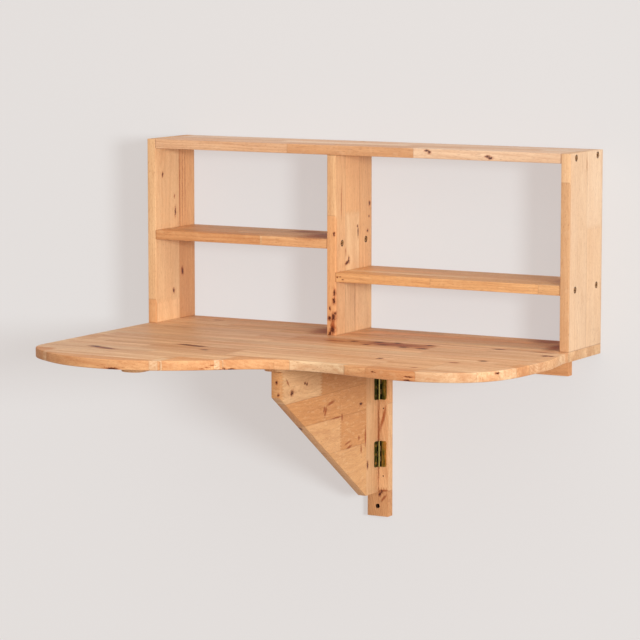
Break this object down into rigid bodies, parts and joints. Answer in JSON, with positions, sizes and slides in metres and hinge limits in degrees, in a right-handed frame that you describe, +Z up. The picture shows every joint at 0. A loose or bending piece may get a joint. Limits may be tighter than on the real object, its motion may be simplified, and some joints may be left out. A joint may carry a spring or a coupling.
{
  "type": "fold down wall desk",
  "caption": "Wall desk with an open shelf box, a wavy solid wood drop leaf and a triangular support bracket that swings on butt hinges against the wall.",
  "frame": {"origin": "on the wall, at the middle of the desk's width and half way up the wall rail's back face", "axes": "+X to the right of someone facing the wall, +Y into the wall, +Z up"},
  "size_m": [1.0136, 0.694, 0.805],
  "materials": {
    "wood": "finger-jointed solid wood, oiled, half matt",
    "hinge_steel": "yellow zinc plated steel",
    "screw_steel": "dark countersunk wood screws"
  },
  "bodies": {
    "desk": {"left_side": "wood", "right_side": "wood", "divider": "wood", "top_board": "wood", "left_shelf": "wood", "right_shelf": "wood", "base_board": "wood", "folding_leaf": "wood", "stiffener_left": "wood", "stiffener_middle": "wood", "stiffener_right": "wood", "wall_rail": "wood", "wall_batten": "wood", "upper_hinge_wall_leaf": "hinge_steel", "upper_hinge_pin": "hinge_steel", "lower_hinge_wall_leaf": "hinge_steel", "lower_hinge_pin": "hinge_steel", "leaf_hinge_left_base_side": "hinge_steel", "leaf_hinge_left_leaf_side": "hinge_steel", "leaf_hinge_left_pin": "hinge_steel", "leaf_hinge_middle_base_side": "hinge_steel", "leaf_hinge_middle_leaf_side": "hinge_steel", "leaf_hinge_middle_pin": "hinge_steel", "leaf_hinge_right_base_side": "hinge_steel", "leaf_hinge_right_leaf_side": "hinge_steel", "leaf_hinge_right_pin": "hinge_steel", "hangers": "hinge_steel", "hanger_screws": "screw_steel", "left_side_screws": "screw_steel", "right_side_screws": "screw_steel", "left_shelf_screws": "screw_steel", "right_shelf_screws": "screw_steel", "top_screws": "screw_steel", "base_screws": "screw_steel", "rail_screws": "screw_steel", "stiffener_screws": "screw_steel", "batten_hinge_screws": "screw_steel", "leaf_hinge_screws": "screw_steel"},
    "bracket": {"bracket_panel": "wood", "bracket_stile": "wood", "upper_hinge_bracket_leaf": "hinge_steel", "lower_hinge_bracket_leaf": "hinge_steel", "bracket_hinge_screws": "screw_steel"}
  },
  "joints": [
    {"name": "bracket_swing", "type": "hinge", "parent": "desk", "child": "bracket", "pos_m": [-0.0037, -0.0233, -0.192], "axis": [0, 0, 1], "range_deg": [0, 90]}
  ]
}
